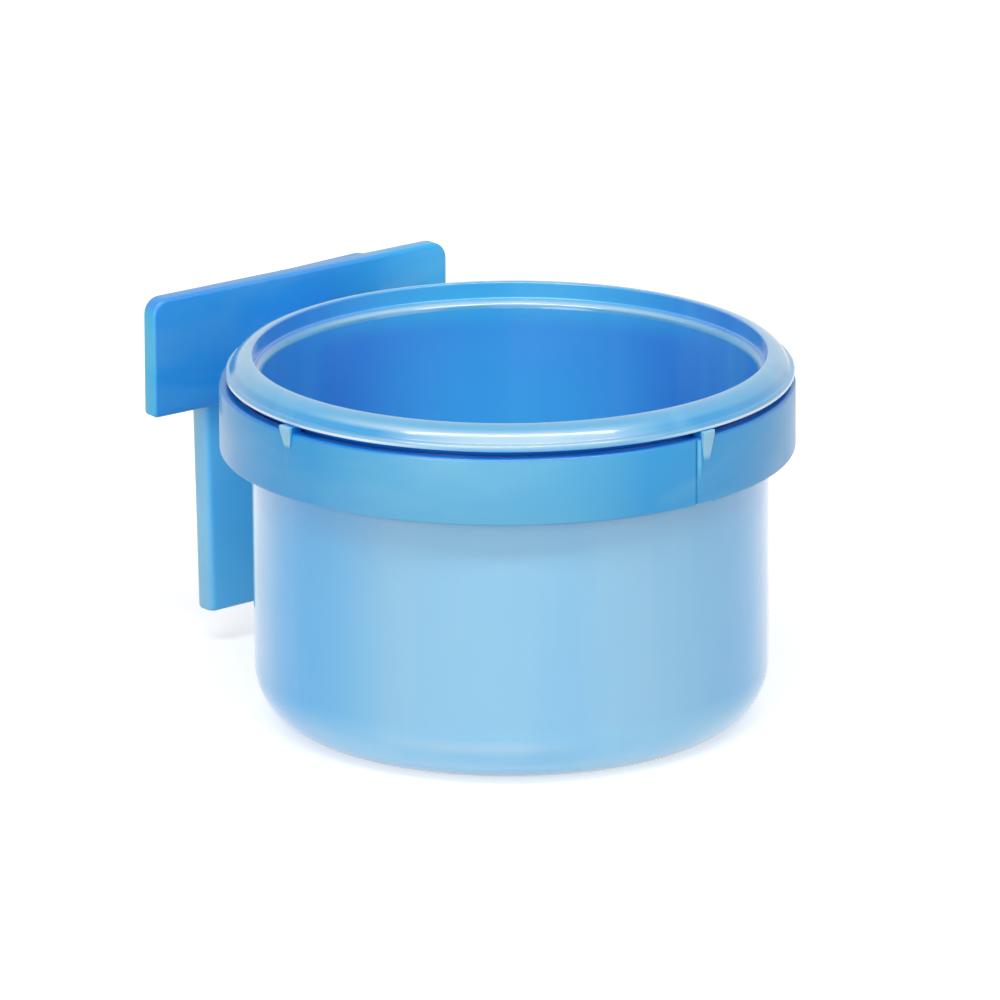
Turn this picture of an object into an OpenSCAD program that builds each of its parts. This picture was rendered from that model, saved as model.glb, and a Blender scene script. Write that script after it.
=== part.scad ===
// Cage seed cup: a lift-out cup in a ring holder that a two-plate screw clamp fixes to cage bars.
// The origin is the centre of the cup's flat underside. The cage is towards +Y and the bird's side
// towards -Y.

/* [Cup] */
// Height of the cup, from its underside to the top of its rim
cup_h = 66.5; // [50:0.5:90]
// Inside diameter of the mouth
mouth_d = 90; // [70:1:120]
// Thickness of the cup's wall
wall_t = 2.1; // [1.2:0.1:3]
// Thickness of the cup's floor
floor_t = 2; // [1.2:0.1:4]
// How much narrower the body is at its foot than under its rim, on the diameter
body_taper = 0.6; // [0:0.1:6]
// Radius of the rounded edge between the wall and the underside
foot_r = 10.5; // [5:0.5:16]
// Height of the wide band inside the mouth, above the ledge
band_h = 3.1; // [1.5:0.1:6]
// How far the ledge steps in from that band
ledge_in = 1.7; // [1.2:0.1:3]
// Radius of the ledge's rounded edge
ledge_r = 1.5; // [0.5:0.1:2]

/* [Cup rim] */
// How far the rim laps over the ring below it
rim_lap = 1.85; // [1.4:0.05:2.2]
// Drop from the top of the rim to its outer edge
rim_drop = 2.8; // [1.5:0.1:5]
// How far the top of the rim bulges above a straight slope
rim_crown = 0.6; // [0.2:0.1:1]
// Height of the upright outer edge of the rim
rim_edge_h = 1.2; // [0.8:0.1:3]
// Depth of the collar that drops into the ring's mouth, below the rim
collar_h = 3.5; // [2.5:0.1:5]

/* [Ring] */
// Height of the ring
ring_h = 12.1; // [11:0.1:16]
// Wall thickness of the ring
ring_t = 2.5; // [2.2:0.1:4]
// Gap between the cup's body and the inside of the ring
ring_room = 2.55; // [2:0.05:8]
// Play of the cup's collar in the ring's mouth, on the radius
ring_play = 1.1; // [0.6:0.1:1.4]
// Chamfer on the edges of the ring
ring_edge = 0.4; // [0.2:0.05:0.6]

/* [Lugs] */
// Height by which the lugs hold the rim above the ring
lug_rise = 1.15; // [0.5:0.05:3]
// Length of the lugs down the outside of the ring
lug_len = 4.4; // [2:0.1:8]
// Width of the lugs at their top
lug_w = 2.8; // [1.5:0.1:5]
// Width of the lugs at their lower tip
lug_tip_w = 0.8; // [0.4:0.1:1.4]
// How far the lugs stand out from the ring
lug_out = 0.8; // [0.4:0.1:2]

/* [Neck] */
// Length of the neck between the ring and its plate
neck_len = 10.15; // [8:0.05:20]
// Width of the neck where it leaves the ring
neck_w = 18; // [14:0.5:22]
// Width of the neck where it meets the plate
neck_foot_w = 13; // [9:0.5:24]
// Height of the neck where it meets the plate
neck_foot_h = 7.4; // [6.4:0.1:9]
// Wall of the neck above and below the bolt's head
neck_wall = 0.8; // [0.6:0.1:1.2]
// How far the bolt lies below the middle of the ring's height
bolt_drop = 0.7; // [0:0.1:1.2]

/* [Holder plate] */
// Width of the level plate on the ring's neck
holder_plate_w = 64.8; // [50:0.2:90]
// Height of that plate
holder_plate_h = 21.6; // [18:0.2:34]
// Thickness of that plate
holder_plate_t = 3.4; // [2.4:0.1:6]
// Radius of its upper corners
holder_corner_r = 3; // [1:0.1:6]
// Radius of its lower corners
holder_foot_r = 1; // [0.6:0.1:6]
// Height of its middle above the bolt
holder_plate_up = 2.1; // [1:0.1:3]

/* [Clamp plate] */
// Width of the loose upright plate on the cage's far side
clamp_plate_w = 38.4; // [24:0.2:60]
// Height of that plate
clamp_plate_h = 58.8; // [40:0.1:80]
// Thickness of that plate
clamp_plate_t = 4.5; // [3:0.1:7]
// Radius of its corners
clamp_corner_r = 1; // [0.6:0.1:5]
// Height of its top above the bolt
clamp_plate_top = 11.2; // [9:0.05:20]
// Gap left between the two plates when they are screwed together
grip_gap = 0.2; // [0.1:0.05:3]
// Turn of the plate on its bolt, in degrees
clamp_lean = 1.4; // [-5:0.1:5]
// Chamfer round the faces of both plates
plate_edge = 0.5; // [0.3:0.1:0.9]

/* [Bolt and nut] */
// Diameter of the bolt's thread
bolt_d = 5; // [4:0.1:6]
// Length of the bolt under its head
bolt_len = 30; // [28:0.5:40]
// Width of the bolt's head across its flats
head_af = 8; // [7:0.1:9]
// Height of the bolt's head
head_h = 3.5; // [2.5:0.1:4.5]
// Running clearance round the bolt, on the radius
bolt_play = 0.1; // [0.05:0.01:0.1]
// Outside diameter of the washer
washer_d = 10; // [9:0.1:14]
// Thickness of the washer
washer_t = 1; // [0.5:0.1:2]
// Diameter of the wing nut's hub at its base
hub_d = 10.6; // [9:0.1:12]
// Diameter of the hub at its top
hub_top_d = 8.8; // [8.2:0.1:9]
// Height of the hub
hub_h = 4.5; // [3:0.1:6]
// Span of the wings from tip to tip
wing_span = 24; // [20:0.5:32]
// Height of the wing nut with its wings
wing_h = 9.4; // [8:0.1:12]
// Thickness of the wings
wing_t = 2; // [1.2:0.1:3]

/* [Hidden] */
$fn = 96;

// Steps in each drawn arc, and how far cuts run past the faces that they open
arc_steps = 8;
overrun = 0.5;

// How much of its play the cup takes up, where it sits forward in the ring
seat_share = 0.72;
// Where the lugs stand round the ring, in degrees from the front towards +X
lug_turns = [5, 94, 184, 274];
// How deep the bolt's head sits behind the ring's inner face, and the room round its flats
head_sink = 0.2;
head_play = 0.1;
// Outline of a wing, as shares of half the span and of the wing nut's height
wing_shares = [
    [0.28, 0.05], [0.44, 0.08], [0.60, 0.28], [0.86, 0.42], [0.97, 0.55], [1.00, 0.72],
    [0.96, 0.88], [0.86, 0.98], [0.74, 1.00], [0.62, 0.93], [0.42, 0.55], [0.28, 0.46]
];

// Colours of the plastic and of the plated steel
cup_colour = "lightskyblue";
holder_colour = "#5bb2e8";
plate_colour = "#4a9fe0";
steel_colour = "silver";

// Radii of the cup
mouth_r = mouth_d / 2;
inner_r = mouth_r - ledge_in;
ledge_edge_r = min(ledge_r, ledge_in);
body_r = inner_r + wall_t;
foot_wall_r = body_r - body_taper / 2;
foot_flat_r = foot_wall_r - foot_r;
inner_foot_r = foot_r - wall_t;

// Radii of the ring, of the rim that laps over it and of the collar that drops into it
ring_in_r = body_r + ring_room;
ring_out_r = ring_in_r + ring_t;
rim_r = ring_in_r + rim_lap;
collar_r = ring_in_r - ring_play;
lug_in_r = ring_in_r + 1.5 * ring_edge;
lug_out_r = ring_out_r + lug_out;

// Heights above the cup's underside
ledge_z = cup_h - band_h;
rim_edge_z = cup_h - rim_drop;
rim_under_z = rim_edge_z - rim_edge_h;
collar_z = rim_under_z - collar_h;
collar_foot_z = collar_z - (collar_r - body_r);
ring_top_z = rim_under_z - lug_rise;
lug_shoulder_z = ring_top_z + lug_rise / 2;
lug_tip_z = ring_top_z - lug_len;
ring_z = ring_top_z - ring_h;
bolt_z = ring_top_z - ring_h / 2 - bolt_drop;

// Places along the bolt, counted from the ring's axis
head_y = ring_in_r + head_sink;
head_seat_y = head_y + head_h;
holder_plate_y = ring_out_r + neck_len;
clamp_plate_y = holder_plate_y + holder_plate_t + grip_gap;
washer_y = clamp_plate_y + clamp_plate_t;
nut_y = washer_y + washer_t;

// The neck starts inside the ring's wall, clear of the mouth, covers the bolt's head in its pocket and
// tapers from there to the middle of the plate's thickness
pocket_af = head_af + 2 * head_play;
neck_y = (ring_in_r + sqrt(pow(ring_out_r, 2) - pow(neck_w / 2, 2))) / 2;
neck_h = pocket_af + 2 * neck_wall;
neck_taper_y = head_seat_y + neck_wall;
neck_end_y = holder_plate_y + holder_plate_t / 2;
bolt_hole_r = bolt_d / 2 + bolt_play;

// Points along an arc round a centre, from one angle to another
function arc(centre, r, from, to) = [
    for (i = [0:arc_steps])
        let (turn = from + (to - from) * i / arc_steps)
        centre + r * [cos(turn), sin(turn)]
];

// Points from p to q along an arc that bulges by crown to the right of the straight line
function crowned(p, q, crown) =
    let (
        chord = norm(q - p),
        along = (q - p) / chord,
        r = pow(chord, 2) / (8 * crown) + crown / 2,
        centre = (p + q) / 2 + (crown - r) * [along.y, -along.x],
        start = p - centre,
        end = q - centre
    )
    arc(centre, r, atan2(start.y, start.x), atan2(end.y, end.x));

// Rectangle between two corners, with each of its own corners cut off
function cut_corners(low, high, edge) = [
    [low.x + edge, low.y], [high.x - edge, low.y],
    [high.x, low.y + edge], [high.x, high.y - edge],
    [high.x - edge, high.y], [low.x + edge, high.y],
    [low.x, high.y - edge], [low.x, low.y + edge]
];

// Rectangle about the origin, with round upper and lower corners
function round_corners(w, h, top_r, foot_r) = concat(
    arc([w / 2 - top_r, h / 2 - top_r], top_r, 0, 90),
    arc([top_r - w / 2, h / 2 - top_r], top_r, 90, 180),
    arc([foot_r - w / 2, foot_r - h / 2], foot_r, 180, 270),
    arc([w / 2 - foot_r, foot_r - h / 2], foot_r, 270, 360)
);

// Section of the cup in radius and height: up its outside, over the rim and down its inside
cup_section = concat(
    [[0, 0]],
    arc([foot_flat_r, foot_r], foot_r, -90, 0),
    [[body_r, collar_foot_z], [collar_r, collar_z], [collar_r, rim_under_z], [rim_r, rim_under_z]],
    crowned([rim_r, rim_edge_z], [mouth_r, cup_h], rim_crown),
    [[mouth_r, ledge_z]],
    arc([inner_r + ledge_edge_r, ledge_z - ledge_edge_r], ledge_edge_r, 90, 180),
    arc([foot_flat_r, floor_t + inner_foot_r], inner_foot_r, 0, -90),
    [[0, floor_t]]
);

// Stands what is drawn along +Z on its side, along +Y
module along_y() {
    rotate([-90, 0, 0]) children();
}

// Bore or pin along +Y, from one place to another
module rod_y(r, from, to) {
    translate([0, from, 0]) along_y() cylinder(r = r, h = to - from);
}

// Six-sided bar along +Y, with flats above and below
module hex_bar_y(af, from, to) {
    translate([0, from, 0]) along_y() cylinder(r = af / 2 / cos(30), h = to - from, $fn = 6);
}

// Upright plate that stands on y = 0 and runs to y = t, with its edges chamfered
module upright_plate(w, h, t, top_r, foot_r) {
    reach = max(w, h) + 2 * overrun;
    intersection() {
        translate([0, -overrun, 0]) along_y()
            linear_extrude(t + 2 * overrun) polygon(round_corners(w, h, top_r, foot_r));
        linear_extrude(reach, center = true)
            polygon(cut_corners([-w / 2, 0], [w / 2, t], plate_edge));
        rotate([90, 0, 90]) linear_extrude(reach, center = true)
            polygon(cut_corners([0, -h / 2], [t, h / 2], plate_edge));
    }
}

module cup() {
    color(cup_colour) rotate_extrude() polygon(cup_section);
}

module ring_band() {
    rotate_extrude() polygon(cut_corners([ring_in_r, ring_z], [ring_out_r, ring_top_z], ring_edge));
}

// Wedge on the ring's outside, at +X, whose top carries the cup's rim
module lug() {
    intersection() {
        translate([0, lug_w / 2, 0]) rotate([90, 0, 0]) linear_extrude(lug_w)
            polygon([
                [lug_in_r, lug_tip_z], [ring_out_r - ring_edge, lug_tip_z],
                [lug_out_r, lug_shoulder_z], [lug_out_r, rim_under_z], [lug_in_r, rim_under_z]
            ]);
        rotate([90, 0, 90]) linear_extrude(lug_out_r + overrun)
            polygon([
                [-lug_tip_w / 2, lug_tip_z], [lug_tip_w / 2, lug_tip_z],
                [lug_w / 2, lug_shoulder_z], [lug_w / 2, rim_under_z],
                [-lug_w / 2, rim_under_z], [-lug_w / 2, lug_shoulder_z]
            ]);
    }
}

// Block that joins the ring to its plate and holds the bolt's head, drawn from above and from the side
module neck() {
    translate([0, 0, bolt_z]) intersection() {
        linear_extrude(neck_h + 2 * overrun, center = true)
            polygon([
                [-neck_w / 2, neck_y], [neck_w / 2, neck_y],
                [neck_foot_w / 2, neck_end_y], [-neck_foot_w / 2, neck_end_y]
            ]);
        rotate([90, 0, 90]) linear_extrude(max(neck_w, neck_foot_w) + 2 * overrun, center = true)
            polygon([
                [neck_y - overrun, -neck_h / 2], [neck_taper_y, -neck_h / 2],
                [neck_end_y + overrun, -neck_foot_h / 2], [neck_end_y + overrun, neck_foot_h / 2],
                [neck_taper_y, neck_h / 2], [neck_y - overrun, neck_h / 2]
            ]);
    }
}

// Puts what is drawn round the ring's axis in its place behind the cup's axis
module on_ring_axis() {
    translate([0, ring_play * seat_share, 0]) children();
}

module ring_holder() {
    color(holder_colour) on_ring_axis() difference() {
        union() {
            ring_band();
            for (turn = lug_turns) rotate([0, 0, turn - 90]) lug();
            neck();
            translate([0, holder_plate_y, bolt_z + holder_plate_up]) upright_plate(
                holder_plate_w, holder_plate_h, holder_plate_t, holder_corner_r, holder_foot_r
            );
        }
        translate([0, 0, bolt_z]) {
            hex_bar_y(pocket_af, ring_in_r - ring_t, head_seat_y);
            rod_y(bolt_hole_r, head_seat_y - overrun, holder_plate_y + holder_plate_t + overrun);
        }
    }
}

module clamp_bolt() {
    color(steel_colour) on_ring_axis() translate([0, 0, bolt_z]) {
        hex_bar_y(head_af, head_y, head_seat_y);
        rod_y(bolt_d / 2, head_seat_y - head_h / 2, head_seat_y + bolt_len);
    }
}

module clamp_plate() {
    color(plate_colour) on_ring_axis() translate([0, 0, bolt_z]) rotate([0, -clamp_lean, 0])
        difference() {
            translate([0, clamp_plate_y, clamp_plate_top - clamp_plate_h / 2]) upright_plate(
                clamp_plate_w, clamp_plate_h, clamp_plate_t, clamp_corner_r, clamp_corner_r
            );
            rod_y(bolt_hole_r, clamp_plate_y - overrun, washer_y + overrun);
        }
}

module washer() {
    color(steel_colour) on_ring_axis() translate([0, 0, bolt_z]) difference() {
        rod_y(washer_d / 2, washer_y, nut_y);
        rod_y(bolt_hole_r, washer_y - overrun, nut_y + overrun);
    }
}

// One wing of the nut, towards +X, on a nut that starts at y = 0
module wing() {
    linear_extrude(wing_t, center = true)
        polygon([for (share = wing_shares) [share.x * wing_span / 2, share.y * wing_h]]);
}

module wing_nut() {
    color(steel_colour) on_ring_axis() translate([0, nut_y, bolt_z]) difference() {
        union() {
            along_y() cylinder(d1 = hub_d, d2 = hub_top_d, h = hub_h);
            wing();
            mirror([1, 0, 0]) wing();
        }
        rod_y(bolt_hole_r, -overrun, wing_h + overrun);
    }
}

cup();
ring_holder();
clamp_bolt();
washer();
clamp_plate();
wing_nut();
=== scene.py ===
"""Finished pieces of a cage seed cup: the cup, its ring holder, the loose clamp plate and their hardware.

Everything is in metres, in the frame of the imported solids: the origin is the centre of the cup's flat
underside, +Z is up and +Y runs along the clamp bolt towards the cage.
"""
import math

import bmesh
import bpy
from bpy.props import FloatProperty, FloatVectorProperty, IntProperty, PointerProperty
from mathutils import Matrix, Vector


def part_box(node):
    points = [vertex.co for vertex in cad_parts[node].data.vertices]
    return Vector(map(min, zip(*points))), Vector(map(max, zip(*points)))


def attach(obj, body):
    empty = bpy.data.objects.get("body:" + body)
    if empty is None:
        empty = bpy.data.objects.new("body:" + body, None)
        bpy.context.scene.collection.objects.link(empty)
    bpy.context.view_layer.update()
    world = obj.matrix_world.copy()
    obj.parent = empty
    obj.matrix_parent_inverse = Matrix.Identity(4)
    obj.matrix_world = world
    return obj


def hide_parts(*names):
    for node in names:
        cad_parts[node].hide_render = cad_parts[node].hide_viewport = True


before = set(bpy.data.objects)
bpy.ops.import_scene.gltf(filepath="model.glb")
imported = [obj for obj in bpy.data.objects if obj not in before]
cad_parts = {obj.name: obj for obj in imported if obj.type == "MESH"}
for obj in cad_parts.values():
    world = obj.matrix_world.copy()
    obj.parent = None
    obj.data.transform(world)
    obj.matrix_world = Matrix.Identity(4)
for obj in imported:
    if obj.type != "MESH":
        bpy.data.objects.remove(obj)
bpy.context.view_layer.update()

bl_info = {
    "name": "Cage Seed Cup",
    "version": (1, 0, 0),
    "blender": (4, 5, 0),
    "location": "3D View > Sidebar > Seed Cup",
    "description": "Makes the finished pieces of a cage seed cup round its solids",
    "category": "Add Mesh",
}

MM = 0.001

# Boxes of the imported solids, from which most sizes come
cup_low, cup_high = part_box("cup")
holder_low, holder_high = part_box("ring_holder")
bolt_low, bolt_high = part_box("clamp_bolt")
washer_low, washer_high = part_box("washer")
clamp_low, clamp_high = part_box("clamp_plate")
nut_low, nut_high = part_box("wing_nut")
bolt_height = (bolt_low.z + bolt_high.z) / 2

# Vertices nearer than this are one vertex, and a cut runs this far past the faces that it opens
WELD = 0.002 * MM
OVERRUN = 0.5 * MM

# A rounded corner gets this many steps, and one more for each whole millimetre of its reach
CORNER_STEPS = 4

# Steps round a bore, the turned hardware, the bolt's head and the floor, and the fold above which an
# edge shows sharp
BORE_STEPS = 64
HARDWARE_STEPS = 96
HEAD_STEPS = 72
FLOOR_STEPS = 96
SHARP_FOLD = math.radians(32)

# The wing nut stands this far off the washer, and the floor this far below the cup, so that flat faces
# which rest on each other don't share a plane
SEAT_GAP = 0.02 * MM


def length(name, description, default):
    """A size in metres that a user would change."""
    return FloatProperty(
        name=name, description=description, default=default, min=0.0, unit="LENGTH", subtype="DISTANCE"
    )


def colour(name, place, default):
    """A place's linear colour, which a user would change."""
    return FloatVectorProperty(
        name=name, description=f"Colour of {place}", default=default,
        min=0.0, max=1.0, size=3, subtype="COLOR",
    )


class SEEDCUP_PG_cup(bpy.types.PropertyGroup):
    """Sizes of the cup."""

    height: length("Height", "From the underside to the top of the rim", cup_high.z)
    mouth_r: length("Mouth radius", "Radius of the band inside the mouth", 45.0 * MM)
    inner_r: length("Inner radius", "Radius of the inside below the ledge", 43.3 * MM)
    wall: length("Wall", "Thickness of the wall", 2.1 * MM)
    floor: length("Floor", "Thickness of the floor", 2.0 * MM)
    taper: length("Taper", "How much the wall draws in at the foot, on the radius", 0.3 * MM)
    foot_r: length("Foot", "Radius of the rounded edge at the foot", 10.5 * MM)
    band: length("Band", "Height of the band inside the mouth", 3.1 * MM)
    ledge_r: length("Ledge edge", "Radius of the ledge's edge", 1.5 * MM)
    rim_r: length("Rim radius", "Outside radius of the rim", cup_high.x)
    rim_drop: length("Rim drop", "From the top of the rim to its outer edge", 2.8 * MM)
    rim_edge: length("Rim edge", "Height of the rim's outer edge", 1.2 * MM)
    crown: length("Crown", "How far the rim's top bulges", 0.6 * MM)
    bead: length("Bead", "Width of the bead along the rim's outer edge", 0.75 * MM)
    collar_r: length("Collar radius", "Radius of the collar below the rim", 46.85 * MM)
    collar: length("Collar", "Height of the collar below the rim", 3.5 * MM)


class SEEDCUP_PG_holder(bpy.types.PropertyGroup):
    """Sizes of the ring holder."""

    set_back: length("Set back", "How far the ring's axis stands behind the cup's", 0.792 * MM)
    ring_in_r: length("Ring mouth", "Inside radius of the ring", 47.95 * MM)
    ring_wall: length("Ring wall", "Thickness of the ring", 2.5 * MM)
    ring_h: length("Ring height", "Height of the ring", 12.1 * MM)
    ring_edge: length("Ring edge", "Rounding of the ring's edges", 0.55 * MM)
    lug_rise: length("Lug rise", "How far the lugs lift the cup's rim above the ring", 1.15 * MM)
    lug_len: length("Lug length", "How far the lugs run down the ring", 5.2 * MM)
    front_lug_len: length("Front lug length", "How far the lug in front runs down the ring", 7.8 * MM)
    lug_w: length("Lug width", "Width of the lugs at their top", 2.8 * MM)
    lug_tip_w: length("Lug tip", "Width of the lugs at their tip", 0.8 * MM)
    lug_out: length("Lug stand-out", "How far the lugs stand out from the ring", 0.8 * MM)
    neck_w: length("Neck width", "Width of the neck at the ring", 18.0 * MM)
    neck_foot_w: length("Neck foot width", "Width of the neck at the plate", 13.0 * MM)
    neck_h: length("Neck height", "Height of the neck at the ring", 9.8 * MM)
    neck_foot_h: length("Neck foot height", "Height of the neck at the plate", 7.4 * MM)
    neck_wall: length("Neck wall", "Wall of the neck round the bolt's head", 0.8 * MM)
    neck_edge: length("Neck edge", "Rounding of the neck's edges", 0.9 * MM)
    plate_t: length("Plate", "Thickness of the level plate", 3.4 * MM)
    plate_w: length("Plate width", "Width of the level plate", 64.8 * MM)
    plate_h: length("Plate height", "Height of the level plate", 21.6 * MM)
    plate_top_r: length("Plate top corners", "Radius of the level plate's upper corners", 3.0 * MM)
    plate_foot_r: length("Plate foot corners", "Radius of the level plate's lower corners", 1.0 * MM)
    plate_edge: length("Plate edge", "Rounding of the level plate's edges", 0.7 * MM)
    mark_w: length("Mould mark", "Width of the line that the mould left beside the front lug", 0.5 * MM)
    mark_in: length("Mark depth", "Depth of that line", 0.2 * MM)
    mark_rise: length("Mark rise", "How far the ring's lower edge is raised beside that line", 0.35 * MM)
    bolt_play: length("Bolt play", "Clearance round the bolt, on the radius", 0.1 * MM)


class SEEDCUP_PG_clamp(bpy.types.PropertyGroup):
    """Sizes of the loose clamp plate, the bolt, the washer and the wing nut."""

    plate_w: length("Plate width", "Width of the loose plate", 38.4 * MM)
    plate_h: length("Plate height", "Height of the loose plate", 58.8 * MM)
    plate_top: length("Plate top", "Height of the loose plate's top above the bolt", 11.2 * MM)
    plate_side_r: length("Plate sides", "Radius of the loose plate's upright edges", 1.5 * MM)
    plate_edge: length("Plate ends", "Rounding of the loose plate's upper and lower edges", 0.7 * MM)
    lean: FloatProperty(
        name="Lean", description="Turn of the loose plate on its bolt",
        default=math.radians(1.4), subtype="ANGLE",
    )
    bolt_r: length("Bolt radius", "Radius of the bolt's thread", 2.5 * MM)
    pitch: length("Pitch", "Pitch of the bolt's thread", 0.8 * MM)
    head_h: length("Head", "Height of the bolt's head", 3.5 * MM)
    hub_r: length("Hub radius", "Radius of the wing nut's hub at its base", 5.3 * MM)
    hub_top_r: length("Hub top", "Radius of the hub at its top", 4.4 * MM)
    hub_h: length("Hub height", "Height of the hub", 4.5 * MM)
    wing_t: length("Wing", "Thickness of the wings", 2.0 * MM)


class SEEDCUP_PG_finish(bpy.types.PropertyGroup):
    """Colours of the plastics, with the painted light, highlights, reflections and shade on them, and of the
    plated steel.
    """

    cup_colour: colour("Cup", "the cup's plastic", (0.0, 0.345, 0.72))
    # Painted light: the cup's front is painted paler where the lamps would light it
    lit_front_colour: colour("Milk", "the cup's front, where light shines through its wall", (0.22, 0.475, 0.66))
    # Painted light: the cup's foot is painted paler in front, as if lit from the floor
    lit_foot_colour: colour("Foot", "the cup's rounded foot, where light shines through", (0.23, 0.56, 0.79))
    glint_colour: colour("Glint", "the paler line along the foot in front", (0.35, 0.58, 0.73))
    rim_colour: colour("Rim", "the cup's rolled rim", (0.09, 0.36, 0.60))
    # Painted highlight: the rim's lower half in front
    rim_highlight_colour: colour("Pale rim", "the rim's paler lower half in front", (0.36, 0.52, 0.63))
    # Painted reflection: a pale line along the rim's lower edge
    rim_edge_reflection_colour: colour("Rim's edge", "the rim's thin lower edge", (0.70, 0.80, 0.86))
    # Painted shade: the cup's inside is painted deeper
    shaded_inside_colour: colour("Cup's inside", "the cup's inside", (0.05, 0.245, 0.72))
    # Painted light on the far side of the inside: its wall, the wall at its ledge, and a glow low down
    far_lit_colour: colour("Far side", "the far side of the inside, where light shines in", (0.055, 0.33, 0.76))
    far_lit_mouth_colour: colour("Mouth", "the wall at the ledge on that side", (0.055, 0.44, 0.76))
    painted_glow_colour: colour("Glow", "that side's lower part, where light shines through", (0.08, 0.53, 0.94))
    # Painted shade: the ledge is painted deeper, which holds down its reflection
    ledge_colour: colour("Ledge", "the ledge inside the mouth", (0.02, 0.26, 0.50))
    # Painted highlight on the ledge on the far side
    far_ledge_highlight_colour: colour("Far ledge", "the ledge on the far side", (0.38, 0.57, 0.66))
    # Painted shade in the gap between the cup and its ring, and along the ring's top edge
    gap_shade_colour: colour("Gap", "the gap between the cup and its ring", (0.0, 0.20, 0.78))
    gap_edge_shade_colour: colour("Gap's edge", "the ring's top edge, which the gap darkens", (0.0, 0.18, 0.56))
    ring_colour: colour("Ring", "the ring", (0.0, 0.27, 0.58))
    # Painted light: the ring's front is painted paler
    ring_lit_front_colour: colour("Ring's milk", "the ring's paler front", (0.09, 0.37, 0.56))
    # Painted highlight: the strip beside the mould's mark
    mark_highlight_colour: colour("Ring's light", "the strip beside the mould's mark", (0.14, 0.46, 0.68))
    plate_colour: colour("Level plate", "the neck and the level plate", (0.02, 0.28, 0.72))
    # Painted light on the level plate's right end and on its thin sides
    lit_plate_end_colour: colour("Level plate's end", "the plate's right end", (0.0, 0.45, 0.87))
    lit_plate_side_colour: colour("Level plate's sides", "the plate's thin sides", (0.0, 0.42, 0.70))
    clamp_colour: colour("Clamp plate", "the clamp plate", (0.02, 0.33, 0.74))
    # Painted light on the clamp plate's front and on its thin sides
    lit_clamp_front_colour: colour("Clamp plate's front", "its front, which light reaches", (0.12, 0.60, 0.98))
    lit_clamp_side_colour: colour("Clamp plate's sides", "its thin sides", (0.24, 0.57, 0.80))
    # Painted light: the lugs are painted paler
    lit_lug_colour: colour("Lugs", "the lugs, which light shines through", (0.25, 0.53, 0.67))
    steel_colour: colour("Plating", "the zinc plate", (0.66, 0.67, 0.68))


class SEEDCUP_PG_settings(bpy.types.PropertyGroup):
    """All the values that the operators read."""

    cup: PointerProperty(type=SEEDCUP_PG_cup)
    holder: PointerProperty(type=SEEDCUP_PG_holder)
    clamp: PointerProperty(type=SEEDCUP_PG_clamp)
    finish: PointerProperty(type=SEEDCUP_PG_finish)
    turn_steps: IntProperty(
        name="Steps round", description="Steps in a full turn of the cup and the ring",
        default=192, min=48, max=360,
    )


def weld(mesh):
    """Joins vertices that lie on each other and turns every face outwards."""
    bmesh.ops.remove_doubles(mesh, verts=mesh.verts, dist=WELD)
    bmesh.ops.recalc_face_normals(mesh, faces=mesh.faces)


def shift(mesh, x, y, z):
    """Moves a mesh. Gives it back."""
    bmesh.ops.translate(mesh, verts=mesh.verts, vec=(x, y, z))
    return mesh


def rotate(mesh, angle, axis):
    """Turns a mesh about one of the axes through the origin. Gives it back."""
    bmesh.ops.rotate(mesh, verts=mesh.verts, matrix=Matrix.Rotation(angle, 3, axis))
    return mesh


def of_kind(kind, result):
    """The vertices, edges or faces in an operator's result."""
    return [part for part in result["geom"] if isinstance(part, kind)]


def oblong(width, height):
    """Corners of a rectangle round the origin, as (x, z)."""
    return [(side * width / 2, rise * height / 2) for side, rise in ((-1, -1), (1, -1), (1, 1), (-1, 1))]


def data_of(name, mesh):
    """Mesh data made from a working mesh, which is used up."""
    data = bpy.data.meshes.new(name)
    mesh.to_mesh(data)
    mesh.free()
    return data


def added(name, data):
    """A new object in the scene."""
    thing = bpy.data.objects.new(name, data)
    bpy.context.scene.collection.objects.link(thing)
    return thing


def round_corner(mesh, vert, reach):
    """Rounds a drawn line at one vertex, reaching that far along both sides."""
    bmesh.ops.bevel(
        mesh, geom=[vert], offset=reach, offset_type="OFFSET", segments=CORNER_STEPS + int(reach / MM),
        profile=0.5, affect="VERTICES", material=-1,
    )


def bevel_edges(mesh, edges, reach, segments=3):
    """Rounds edges of a solid."""
    bmesh.ops.bevel(
        mesh, geom=edges, offset=reach, offset_type="OFFSET", segments=segments,
        profile=0.5, affect="EDGES", material=-1, clamp_overlap=True,
    )


def spun(corners, steps, closed=False):
    """Solid of revolution about Z, from corners of (radius, height, rounding)."""
    mesh = bmesh.new()
    verts = [mesh.verts.new((radius, 0, height)) for radius, height, reach in corners]
    for near, far in zip(verts, verts[1:]):
        mesh.edges.new((near, far))
    if closed:
        mesh.edges.new((verts[-1], verts[0]))
    for vert, (radius, height, reach) in zip(verts, corners):
        if reach:
            round_corner(mesh, vert, reach)
    bmesh.ops.spin(
        mesh, geom=mesh.verts[:] + mesh.edges[:], cent=(0, 0, 0), axis=(0, 0, 1),
        angle=math.tau, steps=steps, use_merge=True,
    )
    weld(mesh)
    return mesh


def extruded(points, thickness, roundings=None):
    """Solid whose outline of (x, z) points lies on y = 0 and which runs to y = thickness."""
    mesh = bmesh.new()
    verts = [mesh.verts.new((x, 0, z)) for x, z in points]
    mesh.faces.new(verts)
    if roundings:
        for vert, reach in zip(verts, roundings):
            round_corner(mesh, vert, reach)
    sides = bmesh.ops.extrude_face_region(mesh, geom=mesh.faces[:], use_keep_orig=True)
    bmesh.ops.translate(mesh, verts=of_kind(bmesh.types.BMVert, sides), vec=(0, thickness, 0))
    weld(mesh)
    return mesh


def outline_edges(mesh):
    """Edges that lie flat in the two ends of an extruded solid."""
    return [edge for edge in mesh.edges if abs(edge.verts[0].co.y - edge.verts[1].co.y) < WELD]


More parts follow.
